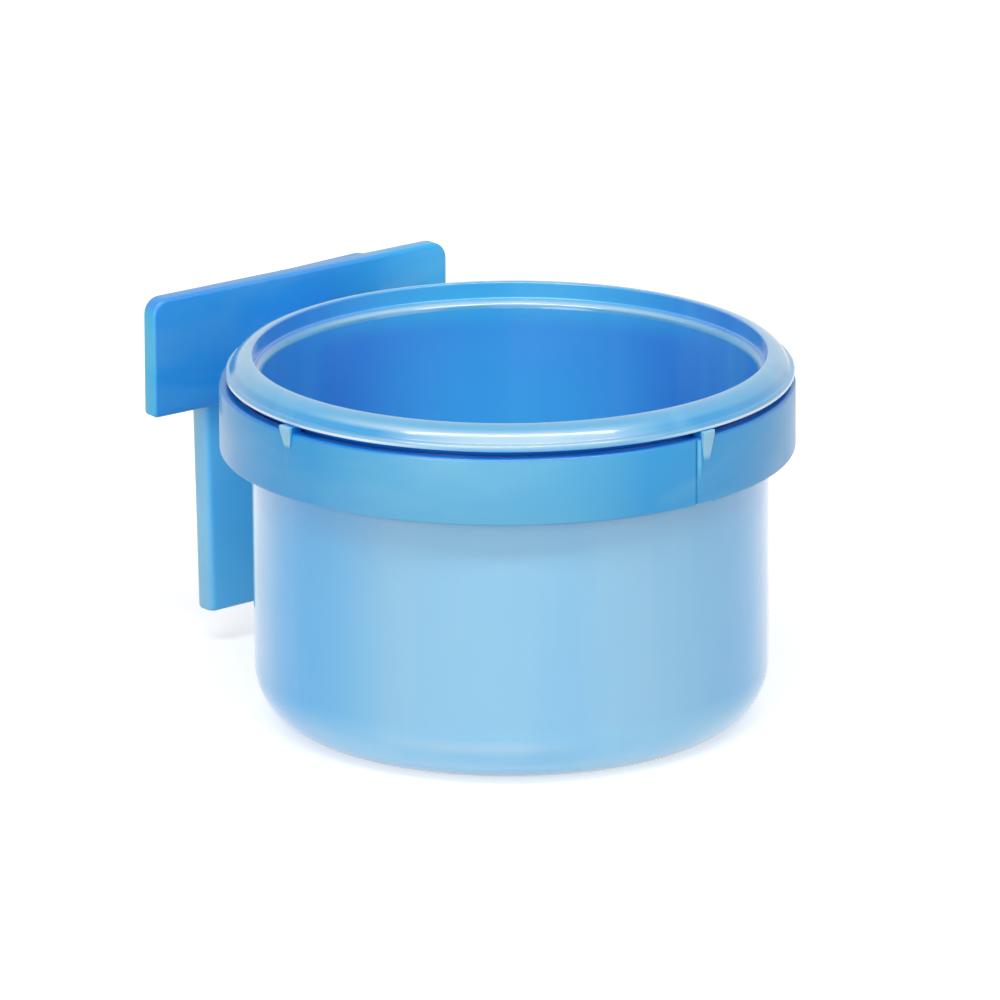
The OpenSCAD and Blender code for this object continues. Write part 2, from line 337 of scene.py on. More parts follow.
def slab(width, height, thickness, foot_r, top_r, edge):
    """Slab that stands on y = 0, centred on the origin, with round corners and soft edges."""
    mesh = extruded(oblong(width, height), thickness, roundings=[foot_r, foot_r, top_r, top_r])
    bevel_edges(mesh, outline_edges(mesh), edge, segments=5)
    return mesh


def block(low, high):
    """Plain box between two corners, to cut with."""
    mesh = bmesh.new()
    bmesh.ops.create_cube(mesh, size=1.0)
    bmesh.ops.scale(mesh, verts=mesh.verts, vec=Vector(high) - Vector(low))
    return shift(mesh, *(Vector(high) + Vector(low)) / 2)


def combined(first, second, operation):
    """The union, difference or intersection of two closed meshes, which are used up."""
    base, tool = (added("working", data_of("working", mesh)) for mesh in (first, second))
    modifier = base.modifiers.new("Combine", "BOOLEAN")
    modifier.operation = operation
    modifier.solver = "EXACT"
    modifier.object = tool
    graph = bpy.context.evaluated_depsgraph_get()
    result = bmesh.new()
    result.from_object(base, graph)
    for thing in (base, tool):
        data = thing.data
        bpy.data.objects.remove(thing)
        bpy.data.meshes.remove(data)
    weld(result)
    return result


def along_bolt(mesh, place):
    """Turns a mesh made along Z onto the bolt's line, with its base at that place in Y."""
    turn = Matrix.Translation((0, place, bolt_height)) @ Matrix.Rotation(-math.pi / 2, 4, "X")
    bmesh.ops.transform(mesh, matrix=turn, verts=mesh.verts)
    return mesh


def bore_radius(settings):
    """Radius of what the bolt passes through."""
    return settings.clamp.bolt_r + settings.holder.bolt_play


def rod(radius, start, end):
    """Plain rod along Z, to cut a bore with."""
    return spun([(0, start, 0), (radius, start, 0), (radius, end, 0), (0, end, 0)], BORE_STEPS)


def finished(name, mesh, body, node, material):
    """Makes a closed mesh the finished piece, which stands for its solid and moves with its body."""
    loose = sum(1 for edge in mesh.edges if len(edge.link_faces) != 2)
    if loose:
        raise RuntimeError(f"{name} isn't closed: {loose} edges")
    data = data_of(name, mesh)
    data.shade_smooth()
    data.set_sharp_from_angle(angle=SHARP_FOLD)
    data.materials.append(material)
    piece = added(name, data)
    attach(piece, body)
    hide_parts(node)


# Width and height that a node takes up in the node editor
NODE_WIDTH = 220
NODE_HEIGHT = 260

# Range in which most of a noise's values lie, and the range over which the plastic's clouds thicken
NOISE_RANGE = (0.3, 0.7)
CLOUD_RANGE = (0.5, 0.75)

# Least and most roughness, and how the steel's colour is made darker and lighter
PLASTIC_ROUGHNESS = (0.3, 0.4)
STEEL_ROUGHNESS = (0.22, 0.36)
STEEL_SHADES = (0.9, 1.08)

# Shares of a plate's rounding between which the painted light on its thin sides fades in
SIDE_SHARES = (0.6, 0.1)


class Nodes:
    """A node tree that is laid out as it grows."""

    def __init__(self, tree):
        self.tree = tree
        self.rows = {}

    def feed(self, node, inputs):
        """Sets a node's inputs to values or other nodes' outputs, and puts it to the right of these."""
        column = 0
        for name, value in inputs.items():
            if isinstance(value, bpy.types.NodeSocket):
                self.tree.links.new(value, node.inputs[name])
                column = max(column, value.node.location.x + NODE_WIDTH)
            else:
                node.inputs[name].default_value = value
        self.rows[column] = self.rows.get(column, 0) + 1
        node.location = (column, -self.rows[column] * NODE_HEIGHT)

    def add(self, kind, output, inputs=None, **settings):
        """Adds a node with these inputs and settings. Gives its output of that name."""
        node = self.tree.nodes.new(kind)
        for name, value in settings.items():
            setattr(node, name, value)
        self.feed(node, inputs or {})
        return node.outputs[output]

    def calculated(self, operation, first, second=0.0):
        """Result of one calculation with a socket and a number or another socket."""
        return self.add("ShaderNodeMath", "Value", {0: first, 1: second}, operation=operation)

    def shown_ray(self):
        """1 where the camera, a reflection or a view through glass sees the surface, else 0."""
        shown = self.add("ShaderNodeLightPath", "Is Camera Ray")
        path = shown.node
        for name in ("Is Glossy Ray", "Is Transmission Ray"):
            shown = self.calculated("MAXIMUM", shown, path.outputs[name])
        return shown


class Surface(Nodes):
    """A finish in the making, whose patterns and places lie on the object's own coordinates."""

    def __init__(self, name, colour):
        self.material = bpy.data.materials.new(name)
        self.material.use_nodes = True
        super().__init__(self.material.node_tree)
        self.coordinates = self.add("ShaderNodeTexCoord", "Object")
        self.tint = (*colour, 1)

    def paint(self, colour, *places):
        """Lays a colour over the ones before it, as far as all the places hold."""
        where = places[0]
        for place in places[1:]:
            where = self.calculated("MULTIPLY", where, place)
        inputs = {"Factor": where, "A": self.tint, "B": (*colour, 1)}
        self.tint = self.add("ShaderNodeMix", "Result", inputs, data_type="RGBA")

    def complete(self, values):
        """Feeds the shader with the painted colours and with these values. Gives the material."""
        shader = self.tree.nodes["Principled BSDF"]
        self.feed(shader, {"Base Color": self.tint, **values})
        self.feed(self.tree.nodes["Material Output"], {"Surface": shader.outputs["BSDF"]})
        return self.material

    def mapped(self, **values):
        """The coordinates, moved, turned or scaled."""
        inputs = {"Vector": self.coordinates}
        for name, value in values.items():
            inputs[name.title()] = value
        return self.add("ShaderNodeMapping", "Vector", inputs)

    def noise(self, scale, detail, stretch=(1, 1, 1), distortion=0.0):
        """Noise that is stretched along the object's axes."""
        inputs = {
            "Vector": self.mapped(scale=stretch), "Scale": scale, "Detail": detail, "Distortion": distortion,
        }
        return self.add("ShaderNodeTexNoise", "Fac", inputs)

    def ranged(self, value, low, high, start, end):
        """Runs from low to high while the value runs from start to end."""
        inputs = {"Value": value, "From Min": start, "From Max": end, "To Min": low, "To Max": high}
        return self.add("ShaderNodeMapRange", "Result", inputs)

    def bump(self, height, distance, strength):
        """Normals of the surface, bumped by a height."""
        inputs = {"Height": height, "Distance": distance, "Strength": strength}
        return self.add("ShaderNodeBump", "Normal", inputs)

    def length_of(self, vector):
        """Length of a vector."""
        return self.add("ShaderNodeVectorMath", "Value", {0: vector}, operation="LENGTH")

    def on_axis(self, axis, vector=None):
        """One coordinate of a place, by default in the object's own coordinates."""
        return self.add("ShaderNodeSeparateXYZ", axis, {"Vector": vector or self.coordinates})

    def between(self, value, start, end, soft):
        """1 while a value lies between two others, 0 outside them, softened at both ends."""
        rise = self.ranged(value, 0.0, 1.0, start, start + soft)
        fall = self.ranged(value, 1.0, 0.0, end - soft, end)
        return self.calculated("MULTIPLY", rise, fall)

    def height(self, start, end):
        """Rises from 0 at one height to 1 at another, which may be the lower one."""
        return self.ranged(self.on_axis("Z"), 0.0, 1.0, start, end)

    def band(self, base, low, high, soft):
        """1 between two heights above a base, softened at both ends."""
        return self.between(self.on_axis("Z"), base + low, base + high, soft)

    def from_axis(self, axis_y=0.0):
        """Distance from an upright axis."""
        return self.length_of(self.mapped(location=(0, -axis_y, 0), scale=(1, 1, 0)))

    def near_axis(self, axis_y, near, far):
        """1 nearer an upright axis than near, 0 further from it than far."""
        return self.ranged(self.from_axis(axis_y), 1.0, 0.0, near, far)

    def towards(self, turn, reach, fade):
        """Rises from 0 to 1 between two shares of a reach, measured from the upright axis along a turn."""
        shares = self.mapped(rotation=(0, 0, math.pi / 2 - turn), scale=(1 / reach, 1 / reach, 0))
        return self.ranged(self.on_axis("X", shares), 0.0, 1.0, *fade)

    def beside(self, turn, start, end, soft):
        """1 between two distances to the right of a turn, on that side of the upright axis."""
        turned = self.mapped(rotation=(0, 0, math.pi / 2 - turn))
        front = self.calculated("GREATER_THAN", self.on_axis("X", turned))
        strip = self.between(self.on_axis("Y", turned), start, end, soft)
        return self.calculated("MULTIPLY", strip, front)

    def within_wall(self, centre_r, centre_z, near, far):
        """1 inside a cup and 0 outside it, softened between two depths from its foot's centre of curve."""
        out = self.calculated("SUBTRACT", self.from_axis(), centre_r)
        down = self.calculated("SUBTRACT", self.on_axis("Z"), centre_z)
        inputs = {"X": self.calculated("MAXIMUM", out), "Y": self.calculated("MINIMUM", down)}
        depth = self.length_of(self.add("ShaderNodeCombineXYZ", "Vector", inputs))
        return self.ranged(depth, 1.0, 0.0, near, far)

    def thin_sides(self, width, rounding, turn=0.0):
        """1 on the upright sides of a plate that is turned about the bolt, and on most of their rounding."""
        level = self.mapped(location=(0, 0, bolt_height), rotation=(0, turn, 0))
        level.node.vector_type = "TEXTURE"
        out = self.calculated("ABSOLUTE", self.on_axis("X", level))
        start, end = (width / 2 - rounding * share for share in SIDE_SHARES)
        return self.ranged(out, 0.0, 1.0, start, end)


def moulded(surface, deep, pale, flow, cloudiness, coat):
    """Completes a surface as glossy moulded plastic, slightly translucent.

    Its faint marks are of a deeper and a paler colour, and drawn out along the plastic's flow.
    """
    streaks = surface.noise(scale=60.0, detail=3.0, stretch=flow, distortion=0.5)
    surface.paint(deep, surface.ranged(streaks, 0.0, cloudiness, *NOISE_RANGE))
    clouds = surface.noise(scale=38.0, detail=4.0, stretch=flow, distortion=1.2)
    surface.paint(pale, surface.ranged(clouds, 0.0, cloudiness, *CLOUD_RANGE))
    haze = surface.noise(scale=90.0, detail=4.0)
    grain = surface.noise(scale=900.0, detail=3.0)
    return surface.complete({
        "Roughness": surface.ranged(haze, *PLASTIC_ROUGHNESS, *NOISE_RANGE),
        "Normal": surface.bump(grain, distance=0.01 * MM, strength=0.25),
        "IOR": 1.49,
        "Coat Weight": coat,
        "Coat Roughness": 0.12,
        "Coat IOR": 1.6,
        "Subsurface Weight": 0.15,
        "Subsurface Radius": (0.3, 0.7, 1.0),
        "Subsurface Scale": 1.5 * MM,
    })


def plated_steel(name, colour):
    """Bright zinc-plated steel with a faint drawn grain."""
    dark, light = (tuple(channel * factor for channel in colour) for factor in STEEL_SHADES)
    surface = Surface(name, dark)
    cloud = surface.noise(scale=260.0, detail=4.0)
    surface.paint(light, surface.ranged(cloud, 0.0, 1.0, *NOISE_RANGE))
    smear = surface.noise(scale=420.0, detail=3.0, stretch=(1, 0.25, 1))
    grain = surface.noise(scale=1600.0, detail=3.0, stretch=(1, 0.3, 1))
    return surface.complete({
        "Roughness": surface.ranged(smear, *STEEL_ROUGHNESS, *NOISE_RANGE),
        "Normal": surface.bump(grain, distance=0.02 * MM, strength=0.3),
        "Metallic": 1.0,
    })


# Roundings of the cup's section
COLLAR_EDGE = 0.5 * MM
RIM_UNDER_EDGE = 0.3 * MM
RIM_TOP_EDGE = 0.4 * MM
BEAD_EDGE = 0.15 * MM
CROWN_END_EDGE = 0.2 * MM
CROWN_ROUNDING = 1.7 * MM
MOUTH_EDGE = 0.3 * MM

# The step between the rim's bead and its crown: its width, and how far its foot and its top lie above the
# rim's outer edge
STEP_W = 0.25 * MM
BEAD_RISE = 0.05 * MM
CROWN_END_RISE = 0.5 * MM


def cup_section(sizes):
    """Corners of the cup's section: out along its underside, up, over the rim and down inside."""
    body_r = sizes.inner_r + sizes.wall
    foot_wall_r = body_r - sizes.taper
    rim_top = sizes.height - sizes.rim_drop
    rim_under = rim_top - sizes.rim_edge
    collar_z = rim_under - sizes.collar
    slope = sizes.collar_r - body_r
    ledge_z = sizes.height - sizes.band
    crown_end_r = sizes.rim_r - sizes.bead - STEP_W
    crown_end_z = rim_top + CROWN_END_RISE
    chord = Vector((crown_end_r - sizes.mouth_r, crown_end_z - sizes.height))
    middle = Vector((sizes.mouth_r, sizes.height)) + chord / 2
    outwards = Vector((-chord.y, chord.x)).normalized()
    crown = middle + outwards * sizes.crown * 2
    return [
        (0, 0, 0),
        (foot_wall_r, 0, sizes.foot_r),
        (body_r, collar_z - slope, COLLAR_EDGE),
        (sizes.collar_r, collar_z, COLLAR_EDGE),
        (sizes.collar_r, rim_under, RIM_UNDER_EDGE),
        (sizes.rim_r, rim_under, RIM_UNDER_EDGE),
        (sizes.rim_r, rim_top, RIM_TOP_EDGE),
        (sizes.rim_r - sizes.bead, rim_top + BEAD_RISE, BEAD_EDGE),
        (crown_end_r, crown_end_z, CROWN_END_EDGE),
        (crown.x, crown.y, CROWN_ROUNDING),
        (sizes.mouth_r, sizes.height, MOUTH_EDGE),
        (sizes.mouth_r, ledge_z, MOUTH_EDGE),
        (sizes.inner_r, ledge_z, sizes.ledge_r),
        (sizes.inner_r - sizes.taper, sizes.floor, sizes.foot_r - sizes.wall),
        (0, sizes.floor, 0),
    ]


# Turns round the upright axis, from the front towards +X: where the lugs stand, between which the mould's
# insert left its mark, and towards which painted light makes the cup, the ring, the inside and the level
# plate paler
LUG_TURNS = [math.radians(angle) for angle in (5.8, 94, 184, 274)]
MARK_TURNS = [math.radians(angle) for angle in (3.1, 8.3)]
LIT_TURN = math.radians(-30)
RING_LIT_TURN = math.radians(-44)
FAR_TURN = math.radians(143)
PLATE_END_TURN = math.radians(90)

# Between which shares of the way out to a piece's side the painted light, highlights, reflection and shade
# fade in
LIT_FADE = (0.5, 0.85)
FOOT_FADE = (0.2, 0.7)
GLINT_FADE = (0.9, 0.99)
RIM_HIGHLIGHT_FADE = (0.74, 0.93)
AROUND_FADE = (0.96, 0.8)
FAR_FADE = (0.8, 1.0)
GLOW_FADE = (0.7, 1.0)
BELOW_LEDGE_FADE = (0.5, 0.95)
FAR_MOUTH_FADE = (0.6, 0.98)
FAR_LEDGE_FADE = (0.45, 0.92)
RING_LIT_FADE = (0.8, 0.985)
PLATE_END_FADE = (0.2, 0.97)

# Bands of painted highlight, reflection and shade: lower and upper height, and how softly they end. The
# glint's heights are above the cup's underside and the others above the rim's.
GLINT_BAND = (5.6 * MM, 9.4 * MM, 1.8 * MM)
RIM_HIGHLIGHT_BAND = (0.4 * MM, 3.4 * MM, 0.7 * MM)
RIM_SHADE_BAND = (0.7 * MM, 2.7 * MM, 0.6 * MM)
RIM_EDGE_BAND = (0.05 * MM, 0.7 * MM, 0.15 * MM)

# Heights between which the foot's painted light fades in, the same for the painted glow as shares of the
# cup's height, and for the painted light on the far side below the ledge as depths below it
FOOT_TOP = (11 * MM, 6 * MM)
GLOW_TOP = (0.9, 0.6)
BELOW_LEDGE = (5 * MM, 1 * MM)

# How softly the rim's colour and the gap's painted shade end, and the shares of the wall between which the
# inside's painted shade does
RIM_SOFT = 0.2 * MM
GAP_SOFT = 0.15 * MM
WALL_MIDDLE = (0.6, 0.4)

# How far outside and inside the mouth's radius the mouth's painted shade and light and the ledge's painted
# shade and highlight end. Then how far these reach above the ledge, how softly they end, and the share of
# the ledge's rounding that the painted highlight on the far side covers
MOUTH_DEPTHS = (0.05 * MM, 0.3 * MM)
LEDGE_DEPTHS = (0.3 * MM, 0.1 * MM)
LEDGE_TOP = (0.1 * MM, 0.4 * MM)
FAR_LEDGE_SHARE = 0.6


def cup_finish(sizes, finish):
    """The cup's plastic, with painted light, highlights and a reflection on its front, foot, rim and far
    inside, and painted shade inside it, on its ledge, on the rim's sides and in the gap.
    """
    body_r = sizes.inner_r + sizes.wall
    foot_wall_r = body_r - sizes.taper
    rim_under = sizes.height - sizes.rim_drop - sizes.rim_edge
    ledge_z = sizes.height - sizes.band
    surface = Surface("cup_plastic", finish.cup_colour)

    # Painted light: the cup's front is painted paler towards the lit turn
    surface.paint(finish.lit_front_colour, surface.towards(LIT_TURN, body_r, LIT_FADE))
    # Painted light on the foot in front, and a painted highlight along it
    front = surface.towards(LIT_TURN, body_r, FOOT_FADE)
    surface.paint(finish.lit_foot_colour, surface.height(*FOOT_TOP), front)
    front = surface.towards(RING_LIT_TURN, foot_wall_r, GLINT_FADE)
    surface.paint(finish.glint_colour, surface.band(0, *GLINT_BAND), front)

    rim = surface.height(rim_under, rim_under + RIM_SOFT)
    surface.paint(finish.rim_colour, rim)
    # Painted highlight on the rim's front
    front = surface.towards(RING_LIT_TURN, sizes.rim_r, RIM_HIGHLIGHT_FADE)
    surface.paint(finish.rim_highlight_colour, surface.band(rim_under, *RIM_HIGHLIGHT_BAND), front)
    # Away from the lit front, painted shade in a stripe on the rim's outer edge, with a painted reflection
    # below it
    around = surface.towards(LIT_TURN, sizes.rim_r, AROUND_FADE)
    surface.paint(finish.ring_colour, surface.band(rim_under, *RIM_SHADE_BAND), around)
    surface.paint(finish.rim_edge_reflection_colour, surface.band(rim_under, *RIM_EDGE_BAND), around)
    # Painted shade in the gap below the rim
    surface.paint(finish.gap_shade_colour, surface.band(rim_under, -2 * sizes.collar, GAP_SOFT, GAP_SOFT))

    # Painted shade inside the cup
    near, far = (sizes.foot_r - sizes.wall * share for share in WALL_MIDDLE)
    inside = surface.within_wall(foot_wall_r - sizes.foot_r, sizes.foot_r, near, far)
    surface.paint(finish.shaded_inside_colour, inside)
    # Painted light on the far side of the inside, with a painted glow low down and below the ledge
    surface.paint(finish.far_lit_colour, inside, surface.towards(FAR_TURN, sizes.inner_r, FAR_FADE))
    lower = surface.height(*(sizes.height * share for share in GLOW_TOP))
    surface.paint(finish.painted_glow_colour, inside, lower, surface.towards(FAR_TURN, sizes.inner_r, GLOW_FADE))
    upper = surface.height(*(ledge_z - depth for depth in BELOW_LEDGE))
    far_side = surface.towards(FAR_TURN, sizes.inner_r, BELOW_LEDGE_FADE)
    surface.paint(finish.far_lit_mouth_colour, inside, upper, far_side)

    # Painted shade in the mouth
    mouth = surface.near_axis(0, *(sizes.mouth_r + depth for depth in MOUTH_DEPTHS))
    surface.paint(finish.shaded_inside_colour, mouth, rim)
    # Painted light in the mouth on the far side
    surface.paint(finish.far_lit_mouth_colour, mouth, rim, surface.towards(FAR_TURN, sizes.mouth_r, FAR_MOUTH_FADE))
    # Painted shade on the ledge
    ledge = surface.near_axis(0, *(sizes.mouth_r - depth for depth in LEDGE_DEPTHS))
    band = surface.band(ledge_z, -sizes.ledge_r, *LEDGE_TOP)
    surface.paint(finish.ledge_colour, ledge, band)
    # Painted highlight on the ledge on the far side
    band = surface.band(ledge_z, -sizes.ledge_r * FAR_LEDGE_SHARE, *LEDGE_TOP)
    far_side = surface.towards(FAR_TURN, sizes.inner_r, FAR_LEDGE_FADE)
    surface.paint(finish.far_ledge_highlight_colour, ledge, band, far_side)
    return moulded(
        surface, finish.cup_colour, finish.lit_foot_colour, flow=(1, 1, 0.1), cloudiness=0.25, coat=1.0
    )


class SEEDCUP_OT_cup(bpy.types.Operator):
    """Makes the lift-out cup."""

    bl_idname = "seedcup.cup"
    bl_label = "Cup"

    def execute(self, context):
        settings = context.scene.seed_cup
        mesh = spun(cup_section(settings.cup), settings.turn_steps)
        material = cup_finish(settings.cup, settings.finish)
        finished("cup_shell", mesh, "cup", "cup", material)
        return {"FINISHED"}


def ring_band(sizes, top, steps):
    """The ring itself, round its own axis."""
    outer = sizes.ring_in_r + sizes.ring_wall
    low = top - sizes.ring_h
    corners = [(sizes.ring_in_r, low), (outer, low), (outer, top), (sizes.ring_in_r, top)]
    return spun([(r, z, sizes.ring_edge) for r, z in corners], steps, closed=True)


# How far inside the ring's outer side a lug's tip ends, and the rounding of the lugs' edges
LUG_TIP_IN = 0.4 * MM
LUG_EDGE = 0.18 * MM


def lug(sizes, top, turn, reach):
    """One wedge on the ring's outside, which carries the cup's rim."""
    outer = sizes.ring_in_r + sizes.ring_wall
    inner = sizes.ring_in_r + sizes.ring_edge
    out = outer + sizes.lug_out
    ring_top = top - sizes.lug_rise
    shoulder = ring_top + sizes.lug_rise / 2
    tip = ring_top - reach
    points = [(inner, tip), (outer - LUG_TIP_IN, tip), (out, shoulder), (out, top), (inner, top)]
    mesh = shift(extruded(points, sizes.lug_w), 0, -sizes.lug_w / 2, 0)
    for vert in mesh.verts:
        if abs(vert.co.z - tip) < WELD:
            vert.co.y *= sizes.lug_tip_w / sizes.lug_w
    shown = [edge for edge in mesh.edges if all(vert.co.x > inner + WELD for vert in edge.verts)]
    bevel_edges(mesh, shown, LUG_EDGE, segments=2)
    return rotate(mesh, turn - math.pi / 2, "Z")


def neck(sizes, near, taper, far):
    """The block between the ring and its plate, which tapers from behind the bolt's head."""
    mesh = bmesh.new()
    verts = [mesh.verts.new((x, near, z)) for x, z in oblong(sizes.neck_w, sizes.neck_h)]
    mesh.faces.new(verts)
    for vert in verts:
        round_corner(mesh, vert, sizes.neck_edge)
    cap = mesh.faces[:]
    narrowing = (sizes.neck_w - sizes.neck_foot_w) * (taper - near) / (far - near)
    stations = [
        (near, sizes.neck_w, sizes.neck_h),
        (taper, sizes.neck_w - narrowing, sizes.neck_h),
        (far, sizes.neck_foot_w, sizes.neck_foot_h),
    ]
    for before, now in zip(stations, stations[1:]):
        sides = bmesh.ops.extrude_face_region(mesh, geom=cap, use_keep_orig=True)
        if before[0] > near:
            bmesh.ops.delete(mesh, geom=cap, context="FACES_ONLY")
        moved = of_kind(bmesh.types.BMVert, sides)
        cap = of_kind(bmesh.types.BMFace, sides)
        bmesh.ops.translate(mesh, verts=moved, vec=(0, now[0] - before[0], 0))
        bmesh.ops.scale(mesh, verts=moved, vec=(now[1] / before[1], 1, now[2] / before[2]))
    weld(mesh)
    return shift(mesh, 0, 0, bolt_height)


def mould_mark(sizes, low, high):
    """What the mould's insert left beside the front lug: a fine upright line and a raised lower edge."""
    outer = sizes.ring_in_r + sizes.ring_wall
    half_w = sizes.mark_w / 2
    reach = outer * (MARK_TURNS[1] - MARK_TURNS[0])
    out = outer + OVERRUN
    under = low - OVERRUN
    line = block((outer - sizes.mark_in, -half_w, under), (out, half_w, high + OVERRUN))
    step = block((sizes.ring_in_r - OVERRUN, 0, under), (out, reach, low + sizes.mark_rise))
    return rotate(combined(line, step, "UNION"), MARK_TURNS[0] - math.pi / 2, "Z")


# The painted highlight beside the mould mark: its near and far side and how softly they end, and the depths
# below the ring's top between which it fades in
MARK_HIGHLIGHT_STRIP = (0.3 * MM, 1.4 * MM, 0.4 * MM)
MARK_HIGHLIGHT_STRIP_END = (7.5 * MM, 5 * MM)

# How far inside the ring's outer side the gap's painted shade starts, the depths between which the top
# edge's painted shade fades in, and the distances outside the ring between which the lugs' painted light
# does
GAP_IN = 0.3 * MM
TOP_EDGE = (0.5 * MM, 0.2 * MM)
LUG_FADE = (0.25 * MM, 0.1 * MM)


def holder_finish(sizes, ring_top, finish):
    """The holder's plastic, with painted light on the ring's front, the lugs and the level plate's end and
    sides, a painted highlight beside the mould mark, and painted shade in the gap and along the ring's top
    edge.
    """
    ring_out_r = sizes.ring_in_r + sizes.ring_wall
    ring_end = ring_out_r + sizes.ring_wall / 2
    gap_r = ring_out_r - GAP_IN
    surface = Surface("holder_plastic", finish.plate_colour)
    # Painted light on the plate's right end and on its sides
    right_end = surface.towards(PLATE_END_TURN, sizes.plate_w / 2, PLATE_END_FADE)
    surface.paint(finish.lit_plate_end_colour, right_end)
    surface.paint(finish.lit_plate_side_colour, surface.thin_sides(sizes.plate_w, sizes.plate_edge))
    ring = surface.near_axis(sizes.set_back, ring_end, ring_end + sizes.ring_wall)
    surface.paint(finish.ring_colour, ring)
    # Painted light on the ring's front
    surface.paint(finish.ring_lit_front_colour, ring, surface.towards(RING_LIT_TURN, ring_out_r, RING_LIT_FADE))
    # Painted highlight beside the mould mark
    strip = surface.beside(MARK_TURNS[0], *MARK_HIGHLIGHT_STRIP)
    upper = surface.height(*(ring_top - depth for depth in MARK_HIGHLIGHT_STRIP_END))
    surface.paint(finish.mark_highlight_colour, ring, strip, upper)
    # Painted shade in the gap and along the ring's top edge
    surface.paint(finish.gap_shade_colour, surface.near_axis(sizes.set_back, gap_r - sizes.ring_edge, gap_r))
    surface.paint(finish.gap_edge_shade_colour, ring, surface.height(*(ring_top - depth for depth in TOP_EDGE)))
    # Painted light on the lugs
    lugs = surface.near_axis(sizes.set_back, *(ring_out_r + reach for reach in LUG_FADE))
    surface.paint(finish.lit_lug_colour, ring, lugs)
    return moulded(
        surface, finish.plate_colour, finish.lit_lug_colour, flow=(0.6, 0.6, 2.2), cloudiness=0.17, coat=0.25
    )


class SEEDCUP_OT_holder(bpy.types.Operator):
    """Makes the ring with its lugs, neck and level plate."""

    bl_idname = "seedcup.holder"
    bl_label = "Ring holder"

    def execute(self, context):
        settings = context.scene.seed_cup
        sizes = settings.holder
        cup = settings.cup
        rim_under = cup.height - cup.rim_drop - cup.rim_edge
        ring_top = rim_under - sizes.lug_rise
        mesh = ring_band(sizes, ring_top, settings.turn_steps)
        mesh = combined(mesh, mould_mark(sizes, ring_top - sizes.ring_h, ring_top), "DIFFERENCE")
        for number, turn in enumerate(LUG_TURNS):
            reach = sizes.lug_len if number else sizes.front_lug_len
            mesh = combined(mesh, lug(sizes, rim_under, turn, reach), "UNION")
        head_seat = bolt_low.y + settings.clamp.head_h
        plate_near = holder_high.y - sizes.plate_t
        neck_near = sizes.ring_in_r + sizes.ring_wall / 3
        neck_taper = head_seat - sizes.set_back + sizes.neck_wall
        neck_far = plate_near - sizes.set_back + sizes.plate_t / 2
        mesh = combined(mesh, neck(sizes, neck_near, neck_taper, neck_far), "UNION")
        mesh = shift(mesh, 0, sizes.set_back, 0)
        plate = slab(
            sizes.plate_w, sizes.plate_h, sizes.plate_t,
            sizes.plate_foot_r, sizes.plate_top_r, sizes.plate_edge,
        )
        plate = shift(plate, 0, plate_near, holder_high.z - sizes.plate_h / 2)
        mesh = combined(mesh, plate, "UNION")
        bore = rod(bore_radius(settings), 0, holder_high.y - bolt_low.y + OVERRUN)
        mesh = combined(mesh, along_bolt(bore, bolt_low.y), "DIFFERENCE")
        pocket_depth = settings.clamp.head_h + sizes.ring_wall
        pocket = hexagon(bolt_high.z - bolt_low.z + 2 * sizes.bolt_play, pocket_depth)
        mesh = combined(mesh, along_bolt(pocket, head_seat - pocket_depth), "DIFFERENCE")
        material = holder_finish(sizes, ring_top, settings.finish)
        finished("holder_moulding", mesh, "holder", "ring_holder", material)
        return {"FINISHED"}


def clamp_plate_finish(sizes, finish):
    """The loose plate's plastic, with painted light on its front and its sides."""
    near = clamp_low.y + sizes.plate_edge
    surface = Surface("plate_plastic", finish.clamp_colour)
    # Painted light on the plate's front and its sides
    front = surface.ranged(surface.on_axis("Y"), 1.0, 0.0, near, near + sizes.plate_edge)
    surface.paint(finish.lit_clamp_front_colour, front)
    sides = surface.thin_sides(sizes.plate_w, sizes.plate_side_r, -sizes.lean)
    surface.paint(finish.lit_clamp_side_colour, sides)
    return moulded(
        surface, finish.plate_colour, finish.lit_clamp_side_colour, flow=(1, 1, 0.5), cloudiness=0.2, coat=0.0
    )


class SEEDCUP_OT_clamp_plate(bpy.types.Operator):
    """Makes the loose clamp plate."""

    bl_idname = "seedcup.clamp_plate"
    bl_label = "Clamp plate"

    def execute(self, context):
        settings = context.scene.seed_cup
        sizes = settings.clamp
        thickness = clamp_high.y - clamp_low.y
        side_r = sizes.plate_side_r
        mesh = slab(sizes.plate_w, thickness, sizes.plate_h, side_r, side_r, sizes.plate_edge)
        mesh = rotate(mesh, math.pi / 2, "X")
        mesh = shift(mesh, 0, thickness / 2, sizes.plate_top - sizes.plate_h)
        mesh = rotate(mesh, -sizes.lean, "Y")
        mesh = shift(mesh, 0, clamp_low.y, bolt_height)
        bore = rod(bore_radius(settings), -OVERRUN, thickness + OVERRUN)
        mesh = combined(mesh, along_bolt(bore, clamp_low.y), "DIFFERENCE")
        material = clamp_plate_finish(sizes, settings.finish)
        finished("loose_plate", mesh, "clamp_plate", "clamp_plate", material)
        return {"FINISHED"}


# Depth of a thread as a share of its pitch, steps in one turn of it, and how fast its chamfered tip widens
THREAD_DEPTH = 0.613
THREAD_STEPS = 28
TIP_SLOPE = 0.8

# Shares of the pitch at which a thread leaves its root, reaches and leaves its crest, and is at its root
THREAD_SHARES = (1 / 8, 7 / 16, 9 / 16, 7 / 8)


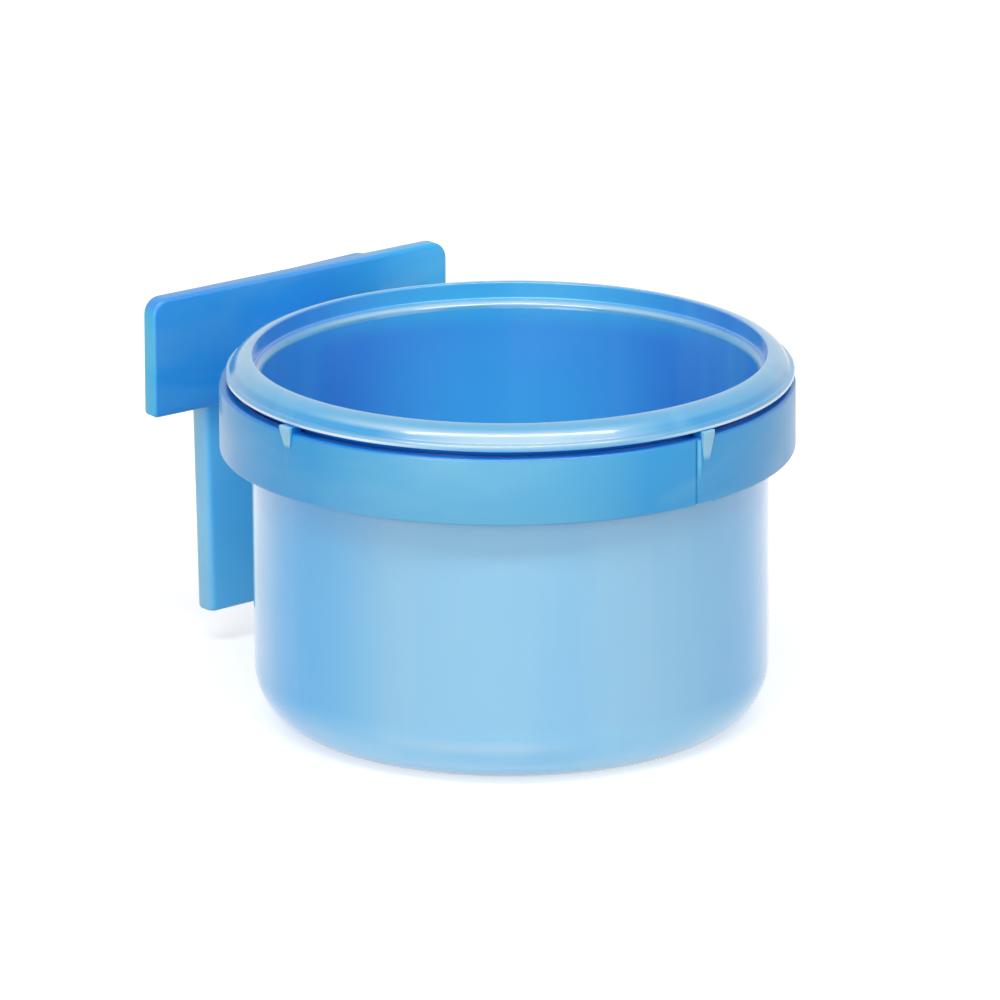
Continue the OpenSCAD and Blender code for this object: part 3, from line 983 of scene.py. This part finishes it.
def threaded_rod(radius, pitch, reach):
    """Threaded rod along Z from z = 0, with a chamfered tip."""
    mesh = bmesh.new()
    root = radius - THREAD_DEPTH * pitch
    section = zip((root, root, radius, radius, root, root), (0, *THREAD_SHARES, 1))
    verts = [mesh.verts.new((r, 0, (share - 1) * pitch)) for r, share in section]
    for near, far in zip(verts, verts[1:]):
        mesh.edges.new((near, far))
    turns = math.ceil(reach / pitch) + 2
    bmesh.ops.spin(
        mesh, geom=mesh.verts[:] + mesh.edges[:], cent=(0, 0, 0), axis=(0, 0, 1),
        dvec=(0, 0, pitch / THREAD_STEPS), angle=math.tau * turns, steps=THREAD_STEPS * turns,
    )
    bmesh.ops.remove_doubles(mesh, verts=mesh.verts, dist=WELD)
    for place, side in ((0, 1), (reach, -1)):
        bmesh.ops.bisect_plane(
            mesh, geom=mesh.verts[:] + mesh.edges[:] + mesh.faces[:], dist=WELD / 10,
            plane_co=(0, 0, place), plane_no=(0, 0, -side), clear_outer=True,
        )
        rim = [edge for edge in mesh.edges if edge.is_boundary and all(
            abs(vert.co.z - place) < WELD for vert in edge.verts)]
        bmesh.ops.holes_fill(mesh, edges=rim, sides=0)
    for vert in mesh.verts:
        limit = root + max(0.0, reach - vert.co.z) * TIP_SLOPE
        across = math.hypot(vert.co.x, vert.co.y)
        if across > limit:
            vert.co.x *= limit / across
            vert.co.y *= limit / across
    weld(mesh)
    return mesh


def corner_radius(across):
    """Radius of a hexagon's corners, from its width across the flats."""
    return across / 2 / math.cos(math.pi / 6)


def hexagon(across, height):
    """Six-sided bar along Z from z = 0, with two of its flats across X."""
    corner_r = corner_radius(across)
    mesh = bmesh.new()
    bmesh.ops.create_cone(
        mesh, cap_ends=True, segments=6, radius1=corner_r, radius2=corner_r, depth=height,
    )
    return shift(rotate(mesh, math.pi / 6, "Z"), 0, 0, height / 2)


# Width of the bolt head's flat face as a share of the head's, and the hardware's roundings
HEAD_FACE_SHARE = 0.94
HEAD_FACE_EDGE = 0.1 * MM
WASHER_EDGE = 0.12 * MM
HUB_BASE_EDGES = (0.25 * MM, 0.3 * MM)
HUB_TOP_EDGES = (0.6 * MM, 0.3 * MM)
WING_CORNER = 0.45 * MM
WING_EDGE = 0.5 * MM


def hexagon_head(across, height):
    """Bolt head along Z from z = 0, whose outer face there has the usual chamfered corners."""
    face_r = across / 2 * HEAD_FACE_SHARE
    out = corner_radius(across) + OVERRUN
    fall = (out - face_r) * math.tan(math.pi / 6)
    turned = [(0, 0, 0), (face_r, 0, HEAD_FACE_EDGE), (out, fall, 0), (out, height, 0), (0, height, 0)]
    return combined(hexagon(across, height), spun(turned, HEAD_STEPS), "INTERSECT")


class SEEDCUP_OT_bolt(bpy.types.Operator):
    """Makes the clamp bolt with its real thread."""

    bl_idname = "seedcup.bolt"
    bl_label = "Clamp bolt"

    def execute(self, context):
        settings = context.scene.seed_cup
        sizes = settings.clamp
        head = hexagon_head(bolt_high.z - bolt_low.z, sizes.head_h)
        sunk = sizes.head_h / 2
        shank = threaded_rod(sizes.bolt_r, sizes.pitch, bolt_high.y - bolt_low.y - sunk)
        mesh = combined(head, shift(shank, 0, 0, sunk), "UNION")
        mesh = along_bolt(mesh, bolt_low.y)
        material = plated_steel("bolt_steel", settings.finish.steel_colour)
        finished("hexagon_bolt", mesh, "holder", "clamp_bolt", material)
        return {"FINISHED"}


class SEEDCUP_OT_washer(bpy.types.Operator):
    """Makes the washer."""

    bl_idname = "seedcup.washer"
    bl_label = "Washer"

    def execute(self, context):
        settings = context.scene.seed_cup
        inner = bore_radius(settings)
        thickness = washer_high.y - washer_low.y
        corners = [(inner, 0), (washer_high.x, 0), (washer_high.x, thickness), (inner, thickness)]
        mesh = spun([(r, z, WASHER_EDGE) for r, z in corners], HARDWARE_STEPS, closed=True)
        mesh = along_bolt(mesh, washer_low.y)
        material = plated_steel("washer_steel", settings.finish.steel_colour)
        finished("flat_washer", mesh, "washer", "washer", material)
        return {"FINISHED"}


# Outline of a wing, as shares of half the span and of the wing nut's height
WING_SHARES = [
    (0.28, 0.05), (0.44, 0.08), (0.60, 0.28), (0.86, 0.42), (0.97, 0.55), (1.00, 0.72),
    (0.96, 0.88), (0.86, 0.98), (0.74, 1.00), (0.62, 0.93), (0.42, 0.55), (0.28, 0.46),
]


class SEEDCUP_OT_wing_nut(bpy.types.Operator):
    """Makes the wing nut."""

    bl_idname = "seedcup.wing_nut"
    bl_label = "Wing nut"

    def execute(self, context):
        settings = context.scene.seed_cup
        sizes = settings.clamp
        inner = bore_radius(settings)
        corners = [
            (inner, SEAT_GAP, HUB_BASE_EDGES[0]), (sizes.hub_r, SEAT_GAP, HUB_BASE_EDGES[1]),
            (sizes.hub_top_r, sizes.hub_h, HUB_TOP_EDGES[0]), (inner, sizes.hub_h, HUB_TOP_EDGES[1]),
        ]
        mesh = spun(corners, HARDWARE_STEPS, closed=True)
        height = nut_high.y - nut_low.y
        for side in (1, -1):
            points = [(side * x * nut_high.x, z * height) for x, z in WING_SHARES]
            wing = extruded(points, sizes.wing_t, roundings=[WING_CORNER] * len(points))
            bevel_edges(wing, outline_edges(wing), WING_EDGE, segments=4)
            mesh = combined(mesh, shift(wing, 0, -sizes.wing_t / 2, 0), "UNION")
        mesh = along_bolt(mesh, nut_low.y)
        material = plated_steel("nut_steel", settings.finish.steel_colour)
        finished("cast_wing_nut", mesh, "wing_nut", "wing_nut", material)
        return {"FINISHED"}


# The photograph is 1000 pixels square. The rim's centre lies at this pixel of it.
FRAME_PIXELS = 1000
RIM_PIXEL = (509.87, 351.1)

# Viewing direction in degrees, distance and scale at the rim's centre, and the turn of the picture
VIEW_TURN = -37.06
VIEW_RISE = 15.9
DISTANCE = 2.697
PIXELS_PER_METRE = 5722
PICTURE_TURN = 0.005
SENSOR = 36.0
CLIP_END = 100.0

# Each lamp's turn and rise in degrees, distance, width and height in metres, and power in watts
SOFTBOXES = {
    "front_softbox": (-50, 20, 1.6, 1.2, 0.9, 4.5),
    "right_softbox": (12, 20, 1.6, 0.9, 0.9, 3.2),
    "side_softbox": (-64, 8, 1.4, 0.6, 0.8, 4.5),
    "top_softbox": (-37, 59, 1.2, 1.6, 0.17, 11.0),
}

# Reach of the floor, the shade of its matt surface and the light that it shows on top of that, and the
# light that the surroundings give
FLOOR_REACH = 12.0
FLOOR_SHADE = 0.7
FLOOR_LIFT = 0.6
WORLD_LEVEL = 0.32

WHITE = (1, 1, 1, 1)


def pointing(turn, rise):
    """Direction at these degrees round the upright axis, from the front towards +X, and above the floor."""
    turn = math.radians(turn)
    rise = math.radians(rise)
    return Vector((math.sin(turn) * math.cos(rise), -math.cos(turn) * math.cos(rise), math.sin(rise)))


def add_camera():
    """Puts the camera at the photograph's angle, and makes it the scene's."""
    turn = math.radians(VIEW_TURN)
    back = pointing(VIEW_TURN, VIEW_RISE)
    right = Vector((math.cos(turn), math.sin(turn), 0))
    up = back.cross(right)
    rolled_right = right * math.cos(PICTURE_TURN) - up * math.sin(PICTURE_TURN)
    rolled_up = right * math.sin(PICTURE_TURN) + up * math.cos(PICTURE_TURN)
    rim_centre = Vector((0, 0, cup_high.z))
    middle = FRAME_PIXELS / 2
    across = (middle - RIM_PIXEL[0]) / PIXELS_PER_METRE
    down = (middle - RIM_PIXEL[1]) / PIXELS_PER_METRE
    aim = rim_centre + rolled_right * across - rolled_up * down
    place = rim_centre + back * DISTANCE
    back = (place - aim).normalized()
    right = rolled_up.cross(back).normalized()
    up = back.cross(right)
    data = bpy.data.cameras.new("camera")
    data.sensor_width = SENSOR
    data.lens = PIXELS_PER_METRE * DISTANCE / FRAME_PIXELS * SENSOR
    data.clip_end = CLIP_END
    camera = added("camera", data)
    camera.matrix_world = Matrix.Translation(place) @ Matrix((right, up, back)).transposed().to_4x4()
    bpy.context.scene.camera = camera


def add_softbox(name, turn, rise, distance, width, height, power):
    """Adds a soft rectangular lamp that faces the cup from that direction."""
    data = bpy.data.lights.new(name, "AREA")
    data.shape = "RECTANGLE"
    data.size = width
    data.size_y = height
    data.energy = power
    direction = pointing(turn, rise)
    lamp = added(name, data)
    lamp.location = Vector((0, 0, cup_high.z / 2)) + direction * distance
    lamp.rotation_euler = direction.to_track_quat("Z", "Y").to_euler()


def add_floor():
    """Pale floor, lifted to white where the camera sees it lit, so that only shadows show."""
    mesh = bmesh.new()
    bmesh.ops.create_circle(mesh, cap_ends=True, segments=FLOOR_STEPS, radius=FLOOR_REACH)
    data = data_of("floor", shift(mesh, 0, 0, -SEAT_GAP))
    material = bpy.data.materials.new("floor")
    material.use_nodes = True
    nodes = Nodes(material.node_tree)
    nodes.tree.nodes.remove(nodes.tree.nodes["Principled BSDF"])
    shade = (FLOOR_SHADE, FLOOR_SHADE, FLOOR_SHADE, 1)
    matt = nodes.add("ShaderNodeBsdfDiffuse", "BSDF", {"Color": shade})
    strength = nodes.calculated("MULTIPLY", nodes.shown_ray(), FLOOR_LIFT)
    glow = nodes.add("ShaderNodeEmission", "Emission", {"Color": WHITE, "Strength": strength})
    total = nodes.add("ShaderNodeAddShader", "Shader", {0: matt, 1: glow})
    nodes.feed(nodes.tree.nodes["Material Output"], {"Surface": total})
    data.materials.append(material)
    added("floor", data)


def add_world():
    """White surroundings, which light the object more softly than they show."""
    world = bpy.data.worlds.new("studio")
    world.use_nodes = True
    nodes = Nodes(world.node_tree)
    inputs = {"Value": nodes.shown_ray(), "To Min": WORLD_LEVEL, "To Max": 1.0}
    strength = nodes.add("ShaderNodeMapRange", "Result", inputs)
    background = nodes.tree.nodes["Background"]
    nodes.feed(background, {"Color": WHITE, "Strength": strength})
    nodes.feed(nodes.tree.nodes["World Output"], {"Surface": background.outputs["Background"]})
    bpy.context.scene.world = world


class SEEDCUP_OT_stage(bpy.types.Operator):
    """Makes the floor, the lamps, the surroundings and the camera."""

    bl_idname = "seedcup.stage"
    bl_label = "Stage"

    def execute(self, context):
        add_floor()
        add_world()
        for name, values in SOFTBOXES.items():
            add_softbox(name, *values)
        add_camera()
        context.scene.view_settings.view_transform = "Standard"
        return {"FINISHED"}


class SEEDCUP_PT_tools(bpy.types.Panel):
    """Lists the operators and the values that they read."""

    bl_idname = "SEEDCUP_PT_tools"
    bl_label = "Seed Cup"
    bl_space_type = "VIEW_3D"
    bl_region_type = "UI"
    bl_category = "Seed Cup"

    def draw(self, context):
        settings = context.scene.seed_cup
        for operator in OPERATORS:
            self.layout.operator(operator.bl_idname)
        self.layout.prop(settings, "turn_steps")
        for group in (settings.cup, settings.holder, settings.clamp, settings.finish):
            box = self.layout.box()
            for name in group.__annotations__:
                box.prop(group, name)


OPERATORS = (
    SEEDCUP_OT_cup, SEEDCUP_OT_holder, SEEDCUP_OT_clamp_plate, SEEDCUP_OT_bolt,
    SEEDCUP_OT_washer, SEEDCUP_OT_wing_nut, SEEDCUP_OT_stage,
)
CLASSES = (
    SEEDCUP_PG_cup, SEEDCUP_PG_holder, SEEDCUP_PG_clamp, SEEDCUP_PG_finish, SEEDCUP_PG_settings,
    *OPERATORS, SEEDCUP_PT_tools,
)


def register():
    """Makes the classes and the settings known to Blender."""
    for item in CLASSES:
        bpy.utils.register_class(item)
    bpy.types.Scene.seed_cup = PointerProperty(type=SEEDCUP_PG_settings)


def unregister():
    """Takes the settings and the classes away again."""
    del bpy.types.Scene.seed_cup
    for item in reversed(CLASSES):
        bpy.utils.unregister_class(item)


def main():
    """Makes every piece and the stage."""
    register()
    bpy.ops.seedcup.cup()
    bpy.ops.seedcup.holder()
    bpy.ops.seedcup.clamp_plate()
    bpy.ops.seedcup.bolt()
    bpy.ops.seedcup.washer()
    bpy.ops.seedcup.wing_nut()
    bpy.ops.seedcup.stage()


if __name__ == "__main__":
    main()
